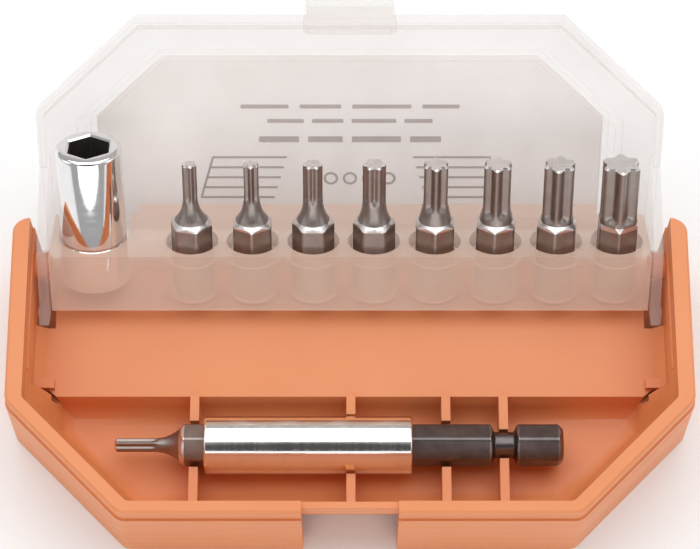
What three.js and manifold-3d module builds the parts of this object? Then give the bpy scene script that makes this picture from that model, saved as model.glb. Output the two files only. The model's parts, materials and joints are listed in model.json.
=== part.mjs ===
// A 1/4 inch bit set in a flip-open case, in millimetres, +Z up.
// The orange base holds a magnetic bit holder in its front well. The clear cover swings on two
// moulded pegs near the rear of the base and carries the rack with eight six-lobe bits and a
// square-drive adapter. The cover is shown open.
// Origin: middle of the flat underside of the well. +X to the right, +Y to the rear.
import * as THREE from 'three';
import { ConvexGeometry } from 'three/addons/geometries/ConvexGeometry.js';
import { mergeVertices } from 'three/addons/utils/BufferGeometryUtils.js';
import Module from 'manifold-3d';

const wasm = await Module();
wasm.setup();

// ---------------------------------------------------------------- driving dimensions
const fit = 0.3; // clearance between neighbouring pieces
const slideFit = 0.35; // clearance round a piece that pulls out
const past = 1; // how far a cutting solid runs past the face that it cuts
const bite = 0.01; // how far two joined solids reach into each other

const hexFlats = 6.35; // 1/4 inch across flats
const hexRadius = hexFlats / 2 / Math.cos(Math.PI / 6);
const adapterWall = 1.88; // round the corners of its hex pocket
const adapterRadius = hexRadius + adapterWall;

const base = {
  halfWidth: 53.5, // inside the side walls
  corner: 17.5, // leg of the 45 degree front corners, inside
  wallEnd: 48.8, // rear end of the side walls, from the inner front edge
  overAdapter: 2.8077, // what the shelf lies below the rim, more than the adapter is thick
  floor: 1.6, // under the well
  troughFloor: 1.2, // behind the shelf
  sideRim: 2.8,
  frontRim: 2.0,
  outerLeg: 1.5, // what the leg of the corners gains on the outside
  cornerRound: 2.4,
  innerRound: 1.2,
  skirt: 1.8, // wall of the outer skirt
  wall: 1.5, // wall of the tray
  stepDepth: 3.5, // below the rim, where the outer wall steps out
  step: 0.35,
  rimEase: 0.4,
  lipDepth: 4.4, // upright part of the front wall, above the slope
  shelfRise: 5.3, // shelf above the floor of the well
  shelfFront: 21.9,
  shelfCornerCut: 3.2,
  shelfFillet: 1.7,
  shelfDraft: 0.3,
  wellFront: 6.8, // front edge of the well floor
  wellSideInset: 4.5,
  wellFillet: 3.2,
  wellDraft: 0.2,
  filletSteps: 4,
};
base.shelfDepth = 2 * adapterRadius + base.overAdapter;
base.wellDepth = base.shelfDepth + base.shelfRise;
base.height = base.wellDepth + base.floor;
base.outerCorner = base.corner + base.outerLeg;

const pad = { reach: 3.7, root: 0.5, back: 1.2, depth: 1.7, rise: 1.2 };

const rack = {
  front: 5.1, // face that the bits stand out of, from the pivot
  boreDepth: 3.0,
  boreRing: 0.73, // round the corners of the hex
  under: 0.6, // wall below the bores
  divider: 1.2,
  raisedRear: 0.5,
  rearWall: 0.7,
};
rack.boreRadius = hexRadius + rack.boreRing;
rack.bottom = rack.boreRadius + rack.under;

const pivot = { fromEnd: 5.3, pegRadius: 2.3, pegLength: 2.9, pegEase: 0.4 };
pivot.y = base.wallEnd - pivot.fromEnd;
pivot.depth = base.shelfDepth - rack.bottom - fit;
const openAngle = THREE.MathUtils.degToRad(126);

const cover = {
  sideGap: 1.2, // to the side walls
  cornerGain: 0.3, // what the leg of its corners is short of the base's
  edgeGap: 0.9, // closed cover edge to the inner front edge of the base
  sunk: 0.1, // flange below the rim
  sheet: 1.4,
  lip: 1.2,
  lipDrop: 1.5,
  lipPast: 2, // how far the lip runs behind the front of the cheeks
  edgeRound: 1.2,
  border: 6.4, // flange outside the raised panel
  slope: 2.0, // run of the panel's sloped side
  panelRise: 3.4,
  rearPast: 0.5, // behind the side walls of the base
  rearBorder: 1.6,
  cheek: 1.6,
  cheekFront: 16.5,
  hornPast: 1.0, // horn behind the rear edge
  hornDrop: 3.0, // horn below the rack
  hornRound: 1.6,
  hornRise: 2.0,
  hornLead: 1.2,
};
cover.halfWidth = base.halfWidth - cover.sideGap;
cover.corner = base.corner - cover.cornerGain;
cover.rimHeight = pivot.depth - cover.sunk;
cover.rearEdge = pivot.fromEnd + cover.rearPast;
cover.hornBack = cover.rearEdge + cover.hornPast;
cover.hornLow = rack.bottom + cover.hornDrop;
rack.top = cover.rimHeight - fit;

const latch = { topHalf: 7.0, tipHalf: 7.5, drop: 11.1, sheet: 1.4, strip: 1.0, recess: 0.6, ease: 1.0 };

const label = { inset: 1.0, sheet: 0.2, gap: 0.1 };

const bitLength = 25;
const bitInRack = rack.front + cover.rearEdge - rack.rearWall - fit;

// Bits of the rack from the left: six-lobe size, and how far each has turned in its round socket.
const rackBitSet = [
  { size: 9, turn: 47 },
  { size: 10, turn: 30 },
  { size: 15, turn: 0 },
  { size: 20, turn: 0 },
  { size: 25, turn: 30 },
  { size: 27, turn: 24 },
  { size: 30, turn: 21 },
  { size: 40, turn: 30 },
];
const holderBitSize = 8;

// Point-to-point diameter of each six-lobe size.
const starDiameter = { 8: 2.31, 9: 2.5, 10: 2.74, 15: 3.27, 20: 3.86, 25: 4.43, 27: 4.99, 30: 5.52, 40: 6.65 };
const star = { lobeDepth: 0.14, lobes: 6, steps: 48 };

const adapter = {
  length: 25,
  side: 3.45, // to the side of the cover
  under: 1.0, // rack below its slot
  stickOut: 17.2,
  hexDepth: 12.4,
  squareDepth: 9.2,
  square: 6.45,
  ease: 0.6,
  funnelDepth: 0.7,
  magnetRadius: 2.3,
  magnetLength: 1.6,
};
adapter.x = adapter.side + adapterRadius - cover.halfWidth;
adapter.height = adapterRadius + slideFit + adapter.under - rack.bottom;

const bitRow = { afterAdapter: 5.2, side: 3.0 };
bitRow.first = adapter.x + adapterRadius + slideFit + rack.divider + rack.boreRadius + bitRow.afterAdapter;
bitRow.last = cover.halfWidth - rack.boreRadius - bitRow.side;
bitRow.pitch = (bitRow.last - bitRow.first) / (rackBitSet.length - 1);

const holder = {
  length: 59.9,
  wall: 1.18, // round the corners of the hex
  sleeveLength: 34.75,
  endGap: 17.95, // right-hand end of the shank to the side wall
  y: 13.45,
  lift: 0.25, // sleeve above the floor of the well
  bitStickOut: 15.0,
  shankInside: 14.0,
  grooveFromEnd: 7.3,
  grooveLength: 5.0,
  neckShare: 0.595, // of the hex across corners
  rampShare: 0.7, // length of the groove's slopes for their height
  sleeveEase: 0.45,
  shankEase: 0.5,
  endEase: 0.9,
  webRadius: 1.2,
  magnetLength: 3.0,
  magnetRadius: 2.7,
};
holder.sleeveRadius = hexRadius + holder.wall;
holder.end = base.halfWidth - holder.endGap;
holder.depth = base.wellDepth - holder.lift - holder.sleeveRadius;
holder.neckRadius = hexRadius * holder.neckShare;

const rib = { sheet: 1.5, overAxis: 0.9, root: 0.5, bitLead: 1.75, sleeveShare: 0.705, shankLead: 5.7 };
rib.topDepth = holder.depth - rib.overAxis;

const bit = {
  hexLength: 14.2,
  ease: 0.5,
  shoulder: 0.9,
  tipEase: 0.3,
  flare: 1.2, // what the foot of the flare gains on the shaft's radius
  flareLength: 3.0,
  flareGap: 0.1, // flare inside the flats of the hex
  flareShare: 0.98, // top of the flare, of the shaft's radius
};
const clip = { wire: 0.7, depth: 4.0, gap: 1.6, inset: 0.05 };

// ---------------------------------------------------------------- solids
function toSolid(geometry) {
  const bare = geometry.clone();
  bare.deleteAttribute('normal');
  bare.deleteAttribute('uv');
  const merged = mergeVertices(bare, 1e-4);
  return new wasm.Manifold(new wasm.Mesh({
    numProp: 3,
    vertProperties: new Float32Array(merged.attributes.position.array),
    triVerts: new Uint32Array(merged.index.array),
  }));
}

function toGeometry(solid) {
  const mesh = solid.getMesh();
  const geometry = new THREE.BufferGeometry();
  geometry.setAttribute('position', new THREE.BufferAttribute(new Float32Array(mesh.vertProperties), 3));
  geometry.setIndex(new THREE.BufferAttribute(new Uint32Array(mesh.triVerts), 1));
  const flat = geometry.toNonIndexed();
  flat.computeVertexNormals();
  return flat;
}

const joined = (solids) => solids.reduce((sum, solid) => sum.add(solid));
const cut = (solid, tools) => tools.reduce((left, tool) => left.subtract(tool), solid);

function boxSolid([x0, y0, z0], [x1, y1, z1]) {
  const geometry = new THREE.BoxGeometry(x1 - x0, y1 - y0, z1 - z0);
  geometry.translate((x0 + x1) / 2, (y0 + y1) / 2, (z0 + z1) / 2);
  return toSolid(geometry);
}

function extruded(points, low, high) {
  const options = { depth: high - low, bevelEnabled: false, steps: 1, curveSegments: 12 };
  const geometry = new THREE.ExtrudeGeometry(new THREE.Shape(points), options);
  geometry.translate(0, 0, low);
  return geometry;
}

// Outline in plan, raised from low to high.
const prismZ = (points, low, high) => toSolid(extruded(points, low, high));

// Profile of (y, z) points, run along X.
function prismX(points, low, high) {
  const geometry = extruded(points, low, high);
  const axes = [new THREE.Vector3(0, 1, 0), new THREE.Vector3(0, 0, 1), new THREE.Vector3(1, 0, 0)];
  geometry.applyMatrix4(new THREE.Matrix4().makeBasis(...axes));
  return toSolid(geometry);
}

// Profile of (x, z) points, run along Y from near to far.
function prismY(points, near, far) {
  const geometry = extruded(points, -far, -near);
  geometry.rotateX(Math.PI / 2);
  return toSolid(geometry);
}

// Closed solid between two outlines at two heights.
function loft(lowPoints, low, highPoints, high) {
  const corners = [];
  for (const p of lowPoints) corners.push(new THREE.Vector3(p.x, p.y, low));
  for (const p of highPoints) corners.push(new THREE.Vector3(p.x, p.y, high));
  return toSolid(new ConvexGeometry(corners));
}

// Solid turned about +Z from (radius, z) pairs; the first and last lie on the axis.
function turned(pairs, segments = 32) {
  const profile = pairs.map(([r, z]) => new THREE.Vector2(r, z));
  const geometry = new THREE.LatheGeometry(profile, segments);
  geometry.rotateX(Math.PI / 2);
  return toSolid(geometry);
}

function rod(radius, low, high, segments = 32) {
  return turned([[0, low], [radius, low], [radius, high], [0, high]], segments);
}

// ---------------------------------------------------------------- derived places
const coverFront = cover.edgeGap - pivot.y; // in the pivot's frame, cover closed
const coverTop = cover.rimHeight + cover.sheet;
const panelTop = coverTop + cover.panelRise;
const rackHalf = cover.halfWidth - cover.cheek - slideFit;
const holderAxis = { y: holder.y, z: -holder.depth };
const wellMiddle = (base.wellFront + base.shelfFront) / 2;

// ---------------------------------------------------------------- outlines
const v2 = (x, y) => new THREE.Vector2(x, y);

// The same polygon with an arc of the given radius at each corner.
function rounded(corners, radius, steps = 5) {
  const points = [];
  corners.forEach((corner, i) => {
    const before = corners[(i + corners.length - 1) % corners.length].clone().sub(corner).normalize();
    const after = corners[(i + 1) % corners.length].clone().sub(corner).normalize();
    const half = Math.acos(before.dot(after)) / 2;
    const reach = radius / Math.tan(half);
    const centre = before.clone().add(after).normalize().multiplyScalar(radius / Math.sin(half)).add(corner);
    const start = corner.clone().addScaledVector(before, reach).sub(centre);
    const end = corner.clone().addScaledVector(after, reach).sub(centre);
    const sweep = Math.atan2(start.x * end.y - start.y * end.x, start.dot(end));
    for (let k = 0; k <= steps; k += 1) {
      points.push(start.clone().rotateAround(v2(0, 0), (sweep * k) / steps).add(centre));
    }
  });
  return points;
}

// Plan of the case: straight front, two 45 degree corners, parallel sides, straight rear.
function casePlan(halfWidth, front, corner, rear) {
  return [
    v2(-halfWidth + corner, front),
    v2(halfWidth - corner, front),
    v2(halfWidth, front + corner),
    v2(halfWidth, rear),
    v2(-halfWidth, rear),
    v2(-halfWidth, front + corner),
  ];
}

// A 45 degree corner leg changes by this share of an offset.
const cornerShare = 2 - Math.SQRT2;

const basePlanInner = (grow, rear) =>
  casePlan(base.halfWidth + grow, -grow, base.corner + cornerShare * grow, rear);

const basePlanOuter = (grow, rear = base.wallEnd) =>
  rounded(
    casePlan(
      base.halfWidth + base.sideRim + grow,
      -base.frontRim - grow,
      base.outerCorner + cornerShare * grow,
      rear,
    ),
    base.cornerRound,
  );

function coverPlan(inset, rear) {
  return casePlan(cover.halfWidth - inset, coverFront + inset, cover.corner - cornerShare * inset, rear);
}

function polygonRing(sides, radius, turn = 0) {
  const ring = [];
  for (let i = 0; i < sides; i += 1) {
    const angle = turn + (i * 2 * Math.PI) / sides;
    ring.push(v2(radius * Math.cos(angle), radius * Math.sin(angle)));
  }
  return ring;
}

const cornerRadius = (flats) => flats / 2 / Math.cos(Math.PI / 6);
const hexRing = (flats) => polygonRing(6, cornerRadius(flats));
const squareRing = (flats) => polygonRing(4, flats / Math.SQRT2, Math.PI / 4);

// Six rounded lobes between the outer and the root radius.
function starRing(diameter) {
  const outer = diameter / 2;
  const ring = [];
  for (let i = 0; i < star.steps; i += 1) {
    const angle = (i * 2 * Math.PI) / star.steps;
    const radius = outer * (1 - star.lobeDepth * (1 - Math.cos(star.lobes * angle)));
    ring.push(v2(radius * Math.cos(angle), radius * Math.sin(angle)));
  }
  return ring;
}

// ---------------------------------------------------------------- case base
// The base is drawn with z = 0 at its rim and y = 0 at the inner front edge.
function baseShell() {
  const stepZ = -base.stepDepth - base.step;
  const top = loft(basePlanOuter(0), -base.rimEase, basePlanOuter(-base.rimEase), 0);
  const band = prismZ(basePlanOuter(0), stepZ, -base.rimEase);
  const skirt = loft(basePlanOuter(2 * base.step), -base.height, basePlanOuter(base.step), stepZ);
  return joined([top, band, skirt]);
}

function wellPlan(grow, frontY, rearY) {
  const inset = base.wellSideInset - grow;
  const corner = base.corner - base.wellSideInset + cornerShare * grow;
  return casePlan(base.halfWidth - inset, frontY - grow, corner, rearY + grow);
}

// Rear wall of the well at depth z: it leans back from the floor up to the shelf's edge and on.
const wellRearAt = (z) => base.shelfFront + base.wellDraft * (z + base.shelfDepth);

// The space of the well, or with a positive grow the body round it: it slopes in from the upright
// rim to the fillet round the floor.
function wellBowl(grow) {
  const filletZ = base.wellFillet - base.wellDepth;
  const radius = base.wellFillet + grow;
  const ring = (k) => {
    const angle = (k * Math.PI) / 2 / base.filletSteps;
    const inset = radius * (1 - Math.cos(angle));
    const plan = wellPlan(grow - inset, base.wellFront - base.wellFillet, wellRearAt(filletZ));
    return { plan, z: filletZ - radius * Math.sin(angle) };
  };
  const topPlan = basePlanInner(grow, wellRearAt(-base.lipDepth) + grow);
  const pieces = [loft(ring(0).plan, filletZ, topPlan, -base.lipDepth)];
  for (let k = 0; k < base.filletSteps; k += 1) {
    pieces.push(loft(ring(k + 1).plan, ring(k + 1).z, ring(k).plan, ring(k).z));
  }
  return joined(pieces);
}

// The open space over the shelf, with a fillet along each side wall.
function shelfSpace() {
  const half = base.halfWidth - base.shelfDraft;
  const low = -base.shelfDepth;
  const foot = half - base.shelfFillet;
  const lift = low + base.shelfFillet;
  const profile = [v2(-half, past), v2(-half, lift), v2(-foot, low)];
  profile.push(v2(foot, low), v2(half, lift), v2(half, past));
  return prismY(profile, wellRearAt(-base.shelfDepth), base.wallEnd + past);
}

// Each front corner of the shelf is cut back at 45 degrees, down to the well.
function shelfCornerCut(side) {
  const outer = side * (base.halfWidth - base.shelfDraft);
  const inner = outer - side * (base.shelfCornerCut + base.shelfFillet);
  const rear = base.shelfFront + base.shelfCornerCut;
  const plan = [v2(inner, base.shelfFront - past), v2(outer, base.shelfFront - past), v2(outer, rear)];
  if (side < 0) plan.reverse();
  return prismZ(plan, base.wellFillet - base.wellDepth, past - base.shelfDepth);
}

// Where a point of the cover that is this far behind and below the pivot swings clear of the shelf.
function swingFront(back, below) {
  const drop = base.shelfDepth - pivot.depth;
  return pivot.y - Math.sqrt(back ** 2 + below ** 2 - drop ** 2) - slideFit;
}

const shelfRear = swingFront(cover.rearEdge, rack.bottom);

// Room behind the shelf for the rack, and beside it for the horns of the cover, as they swing.
function swingSpaces() {
  const low = base.troughFloor - base.height;
  const high = base.shelfFillet - base.shelfDepth;
  const half = base.halfWidth - base.shelfDraft;
  const hornFront = swingFront(cover.hornBack, cover.hornLow);
  const slot = cover.halfWidth - cover.cheek - 2 * fit;
  return [
    boxSolid([-half, shelfRear, low], [half, base.wallEnd + past, high]),
    boxSolid([slot, hornFront, low], [half, base.wallEnd, high]),
    boxSolid([-half, hornFront, low], [-slot, base.wallEnd, high]),
  ];
}

// Walls left standing under the tray: front slope, shelf, the wall that closes the shelf's rear, and
// the floor behind it.
function trayBody() {
  const below = -base.height;
  const well = wellBowl(base.floor);
  const mouth = prismZ(basePlanInner(base.wall, base.wallEnd), -base.lipDepth, -base.rimEase);
  const half = base.halfWidth + base.wall;
  const rear = shelfRear;
  const shelfLow = -base.shelfDepth - base.wall;
  const shelf = boxSolid([-half, base.shelfFront - past, shelfLow], [half, rear, -base.lipDepth]);
  const rearWall = boxSolid([-half, rear - base.wall, below], [half, rear, -base.shelfDepth]);
  const trough = boxSolid([-half, rear - base.wall, below], [half, base.wallEnd, below + base.troughFloor]);
  const sides = [-1, 1].map((side) => {
    const inner = side * (base.halfWidth - base.shelfDraft);
    const outer = side * (base.halfWidth + base.wall);
    const x = [Math.min(inner, outer), Math.max(inner, outer)];
    return boxSolid([x[0], base.shelfFront, below], [x[1], base.wallEnd, -base.rimEase]);
  });
  return joined([well, mouth, shelf, rearWall, trough, ...sides]);
}

// A cross rib in the well with a round-bottomed notch that a piece of the holder lies in.
function wellRib(x, notchRadius) {
  const { y, z } = holderAxis;
  const top = -rib.topDepth;
  const low = -base.wellDepth - rib.root;
  const plate = prismX([v2(0, low), v2(base.shelfFront, low), v2(base.shelfFront, top), v2(0, top)],
    x - rib.sheet / 2, x + rib.sheet / 2);
  const round = rod(notchRadius, -rib.sheet, rib.sheet, 28).rotate([0, 90, 0]).translate([x, y, z]);
  const far = x + rib.sheet;
  const mouth = boxSolid([x - rib.sheet, y - notchRadius, z], [far, y + notchRadius, top + past]);
  return cut(plate, [round, mouth]);
}

function wellRibs() {
  const left = holder.end - holder.length;
  const groove = holder.end - holder.grooveFromEnd - holder.grooveLength / 2;
  const hexNotch = hexRadius + slideFit;
  return [
    wellRib(left - rib.bitLead, hexNotch),
    wellRib(left + holder.sleeveLength * rib.sleeveShare, holder.sleeveRadius + slideFit),
    wellRib(left + holder.sleeveLength + rib.shankLead, hexNotch),
    wellRib(groove, holder.neckRadius + slideFit),
  ];
}

// Small pad in each front corner of the shelf.
function shelfPad(side) {
  const outer = side * (base.halfWidth + pad.root);
  const inner = side * (base.halfWidth - pad.reach);
  const x = [Math.min(inner, outer), Math.max(inner, outer)];
  const y = base.shelfFront + pad.back;
  return boxSolid([x[0], y, -base.shelfDepth - base.wall], [x[1], y + pad.depth, pad.rise - base.shelfDepth]);
}

// The pegs that the cover swings on stand in from the side walls.
function hingePeg(side) {
  const root = base.halfWidth + base.wall / 2;
  const tip = base.halfWidth - pivot.pegLength;
  const { pegRadius: radius, pegEase: ease } = pivot;
  const peg = turned([[0, tip], [radius - ease, tip], [radius, tip + ease], [radius, root], [0, root]]);
  return peg.rotate([0, side * 90, 0]).translate([0, pivot.y, -pivot.depth]);
}

// The skirt is cut away behind the latch tab, back to the slope of the well and down to the ground,
// and the rim is lowered there.
function latchNotch() {
  const half = latch.tipHalf + slideFit;
  const out = -base.frontRim - 2 * base.step - past;
  const foot = base.wellFront - base.wellFillet - latch.strip;
  const low = -base.height - past;
  const profile = [v2(out, low), v2(foot, low), v2(foot, base.wellFillet - base.wellDepth)];
  profile.push(v2(-latch.strip, -base.lipDepth), v2(-latch.strip, past), v2(out, past));
  return [prismX(profile, -half, half), boxSolid([-half, out, -latch.recess], [half, bite, past])];
}

function caseBase() {
  const shell = baseShell();
  const room = basePlanOuter(-base.skirt, base.wallEnd - base.skirt);
  const under = prismZ(room, -base.height - past, -base.stepDepth - base.skirt);
  const tray = trayBody().intersect(shell);
  const mouthRear = base.wallEnd + 2 * base.innerRound;
  const mouthPlan = rounded(basePlanInner(0, mouthRear), base.innerRound);
  const mouth = prismZ(mouthPlan, -base.lipDepth - bite, past);
  const hollow = [mouth, wellBowl(0), shelfSpace(), shelfCornerCut(-1), shelfCornerCut(1)];
  const open = cut(cut(shell, [under]).add(tray), [...hollow, ...swingSpaces()]);
  const ribs = joined(wellRibs()).intersect(trayBody());
  const fittings = [ribs, shelfPad(-1), shelfPad(1), hingePeg(-1), hingePeg(1)];
  return cut(joined([open, ...fittings.map((piece) => piece.intersect(shell.hull()))]), latchNotch());
}

// ---------------------------------------------------------------- cover
// The cover, rack and bits are drawn closed, with the pivot at the origin.
function panelLoft(inset, low, topInset, high) {
  const lowPlan = coverPlan(cover.border + inset, cover.rearEdge - cover.rearBorder - inset);
  const highPlan = coverPlan(cover.border + topInset, cover.rearEdge - cover.rearBorder - topInset);
  return loft(lowPlan, low, highPlan, high);
}

// Flange and raised panel, hollow on the inside.
function coverSheet() {
  const flange = prismZ(rounded(coverPlan(0, cover.rearEdge), cover.edgeRound), cover.rimHeight, coverTop);
  const raised = panelLoft(0, coverTop - bite, cover.slope, panelTop);
  const { sheet, slope } = cover;
  const inner = panelLoft(sheet, cover.rimHeight - bite, slope + sheet, panelTop - sheet);
  return cut(joined([flange, raised]), [inner]);
}

// Lip under the edge of the flange, round the front and corners.
function coverLip() {
  const low = cover.rimHeight - cover.lipDrop;
  const plan = coverPlan(0, cover.lipPast - cover.cheekFront);
  const outside = prismZ(rounded(plan, cover.edgeRound), low, cover.rimHeight + bite);
  const inside = prismZ(coverPlan(cover.lip, past), low - past, cover.rimHeight + past);
  return outside.subtract(inside);
}

// Side cheek: it runs down past the rack to the pivot and ends in a rounded horn.
function coverCheek(side) {
  const outer = side * cover.halfWidth;
  const inner = side * (cover.halfWidth - cover.cheek);
  const low = -rack.bottom;
  const plan = [
    v2(-cover.cheekFront, cover.rimHeight + bite),
    v2(-rack.front, low),
    v2(cover.rearEdge - cover.hornRound, low - cover.hornLead),
    v2(cover.hornBack - 2 * cover.hornRound, -cover.hornLow),
    v2(cover.hornBack, -cover.hornLow),
    v2(cover.hornBack, low),
    v2(cover.rearEdge, low + cover.hornRise),
    v2(cover.rearEdge, cover.rimHeight + bite),
  ];
  const plate = prismX(plan, Math.min(inner, outer), Math.max(inner, outer));
  const hole = rod(pivot.pegRadius + slideFit, -past, 2 * cover.halfWidth).rotate([0, side * 90, 0]);
  return plate.subtract(hole);
}

// The latch tab reaches over the lowered rim and down the notch in the skirt.
function latchTab() {
  const back = coverFront - (cover.edgeGap + latch.strip + fit); // inner face of the tab
  const front = back - latch.sheet;
  const bridgeEnd = [latch.topHalf, coverFront + cover.lip, coverTop];
  const bridge = boxSolid([-latch.topHalf, front, cover.rimHeight], bridgeEnd);
  const low = coverTop - latch.drop;
  const tip = latch.tipHalf;
  const { ease } = latch;
  const outline = [v2(-tip + ease, low), v2(tip - ease, low), v2(tip, low + ease),
    v2(latch.topHalf, coverTop), v2(-latch.topHalf, coverTop), v2(-tip, low + ease)];
  return joined([bridge, prismY(outline, front, back)]);
}

const coverShell = () => joined([coverSheet(), coverLip(), coverCheek(-1), coverCheek(1), latchTab()]);

// ---------------------------------------------------------------- rack
// Turns a solid drawn along +Z so that it points to the front of the closed case.
const towardsFront = (solid) => solid.rotate([90, 0, 0]);

const adapterBottom = adapter.stickOut - adapter.length;
const bitX = (i) => bitRow.first + i * bitRow.pitch;

function bitSocket(x) {
  const mouth = rod(rack.boreRadius, -rack.boreDepth, past);
  const socket = rod(hexRadius + fit, -bitInRack - fit, past);
  return towardsFront(joined([mouth, socket])).translate([x, -rack.front, 0]);
}

function adapterSlot() {
  const radius = adapterRadius + slideFit;
  const low = adapterBottom - fit;
  const round = rod(radius, low, past, 40);
  const back = boxSolid([-radius, 0, low], [radius, rack.top + past, past]);
  return towardsFront(joined([round, back])).translate([adapter.x, -rack.front, adapter.height]);
}

function bitRack() {
  const main = boxSolid([-rackHalf, -rack.front, -rack.bottom], [rackHalf, cover.rearEdge, rack.top]);
  const left = adapter.x + adapterRadius + slideFit + rack.divider;
  const right = cover.halfWidth - cover.border - cover.slope - cover.sheet - fit;
  const under = panelTop - cover.sheet - fit;
  const raised = boxSolid([left, -rack.front, rack.top - bite], [right, rack.raisedRear, under]);
  const sockets = rackBitSet.map((_, i) => bitSocket(bitX(i)));
  return cut(joined([main, raised]), [...sockets, adapterSlot()]);
}

function labelSheet() {
  const z = panelTop + label.gap;
  const inset = cover.slope + label.inset;
  const plan = coverPlan(cover.border + inset, cover.rearEdge - cover.rearBorder - inset);
  return prismZ(plan, z, z + label.sheet);
}

// ---------------------------------------------------------------- bits and adapter
// Bits are drawn standing on z = 0 with the star end up.
function insertBit(size) {
  const shaft = starDiameter[size] / 2;
  const { ease, hexLength: hexEnd, tipEase } = bit;
  const flareEnd = hexEnd + bit.flareLength;
  const body = prismZ(hexRing(hexFlats), 0, hexEnd).intersect(
    turned([[0, 0], [hexRadius - ease, 0], [hexRadius, ease], [hexRadius, hexEnd - bit.shoulder],
      [hexRadius - bit.shoulder, hexEnd], [0, hexEnd]]));
  const flareFoot = Math.min(hexFlats / 2 - bit.flareGap, shaft + bit.flare);
  const flareTop = shaft * bit.flareShare;
  const flare = turned([[0, hexEnd - past], [flareFoot, hexEnd - past], [flareFoot, hexEnd],
    [flareTop, flareEnd], [0, flareEnd]]);
  const tip = prismZ(starRing(2 * shaft), hexEnd - past, bitLength).intersect(
    turned([[0, 0], [shaft + past, 0], [shaft + past, bitLength - tipEase - past],
      [shaft, bitLength - tipEase], [shaft - tipEase, bitLength], [0, bitLength]]));
  return joined([body, flare, tip]);
}

function clipRing(pocketFlats) {
  const outer = cornerRadius(pocketFlats) + clip.wire / 2 - clip.inset;
  const inner = outer - clip.wire / 2;
  const ring = rod(outer, 0, clip.wire).subtract(rod(inner, -past, clip.wire + past));
  return ring.subtract(boxSolid([0, -clip.gap / 2, -past], [outer + past, clip.gap / 2, clip.wire + past]));
}

// Groove that the clip ring sits in, cut round a hex pocket.
const clipGroove = (pocketFlats) =>
  rod(cornerRadius(pocketFlats) + clip.wire / 2 + slideFit - clip.inset, -slideFit, clip.wire + slideFit);

const magnetFloor = adapter.length - adapter.hexDepth - adapter.magnetLength - fit;

function adapterBody() {
  const { length, ease, funnelDepth } = adapter;
  const radius = adapterRadius;
  const outside = turned([[0, 0], [radius - ease, 0], [radius, ease], [radius, length - ease],
    [radius - ease, length], [0, length]], 48);
  const flats = hexFlats + 2 * fit;
  const hex = prismZ(hexRing(flats), length - adapter.hexDepth, length + past);
  const funnel = loft(hexRing(flats), length - funnelDepth, hexRing(flats + 2 * funnelDepth), length + bite);
  const square = prismZ(squareRing(adapter.square), -past, adapter.squareDepth);
  const seat = rod(adapter.magnetRadius + fit, magnetFloor - fit, length - adapter.hexDepth + past);
  const groove = clipGroove(flats).translate([0, 0, length - clip.depth]);
  return cut(outside, [hex, funnel, square, seat, groove]);
}

// ---------------------------------------------------------------- bit holder
// The holder is drawn along +Z from the mouth of its sleeve.
const pocketDepth = bitLength - holder.bitStickOut + fit;

function holderSleeve() {
  const { sleeveRadius: radius, sleeveLength: length, sleeveEase: ease } = holder;
  const outside = turned([[0, 0], [radius - ease, 0], [radius, ease], [radius, length - ease],
    [radius - ease, length], [0, length]], 48);
  const flats = hexFlats + 2 * fit;
  const hex = prismZ(hexRing(flats), -past, pocketDepth);
  const seatEnd = pocketDepth + holder.magnetLength + 2 * fit;
  const seat = rod(holder.magnetRadius + fit, pocketDepth - past, seatEnd);
  const shank = rod(hexRadius + fit, length - holder.shankInside - fit, length + past);
  const web = rod(holder.webRadius, pocketDepth, length, 16);
  const groove = clipGroove(flats).translate([0, 0, clip.depth - clip.wire]);
  return cut(outside, [hex, seat, shank, web, groove]);
}

function holderShank() {
  const corner = hexRadius;
  const low = holder.sleeveLength - holder.shankInside;
  const high = holder.length;
  const grooveTop = high - holder.grooveFromEnd;
  const grooveLow = grooveTop - holder.grooveLength;
  const neck = holder.neckRadius;
  const ramp = (corner - neck) * holder.rampShare;
  const { shankEase, endEase } = holder;
  const profile = [[0, low], [corner - shankEase, low], [corner, low + shankEase], [corner, grooveLow],
    [neck, grooveLow + ramp], [neck, grooveTop - ramp], [corner, grooveTop],
    [corner, high - endEase], [corner - endEase, high], [0, high]];
  return prismZ(hexRing(hexFlats), low, high).intersect(turned(profile, 48));
}

// ---------------------------------------------------------------- materials
function paint(color, roughness, metalness) {
  return new THREE.MeshStandardMaterial({ color, roughness, metalness });
}
const orange = paint(0xe8823f, 0.45, 0);
const clear = paint(0xe9e6e1, 0.35, 0);
const frosted = paint(0xd9d2cb, 0.55, 0);
const printed = paint(0xf4f3f0, 0.5, 0);
const steel = paint(0x8a7a72, 0.35, 0.9);
const polished = paint(0xd8d8d8, 0.15, 1);
const chrome = paint(0xc9c9c9, 0.08, 1);
const blackened = paint(0x3d3a3a, 0.4, 0.8);
const magnetic = paint(0x6b6b6e, 0.3, 0.9);
const spring = paint(0x9a9a9a, 0.3, 1);

function named(name, solid, material) {
  const mesh = new THREE.Mesh(toGeometry(solid), material);
  mesh.name = name;
  return mesh;
}

// ---------------------------------------------------------------- assembly
const bitNode = (size) => `star_bit_${String(size).padStart(2, '0')}`;

function adapterGroup() {
  const group = new THREE.Group();
  const pocket = adapter.length - clip.depth;
  const ring = clipRing(hexFlats + 2 * fit).translate([0, 0, pocket]);
  const magnet = rod(adapter.magnetRadius, magnetFloor, magnetFloor + adapter.magnetLength);
  group.add(named('adapter_body', adapterBody(), chrome));
  group.add(named('adapter_magnet', magnet, magnetic));
  group.add(named('adapter_clip_ring', ring, spring));
  group.rotation.x = Math.PI / 2;
  group.position.set(adapter.x, -rack.front - adapterBottom, adapter.height);
  return group;
}

function rackBits() {
  return rackBitSet.map(({ size, turn }, i) => {
    const mesh = named(bitNode(size), insertBit(size).rotate([0, 0, turn]), steel);
    mesh.rotation.x = Math.PI / 2;
    mesh.position.set(bitX(i), bitInRack - rack.front, 0);
    return mesh;
  });
}

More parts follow.
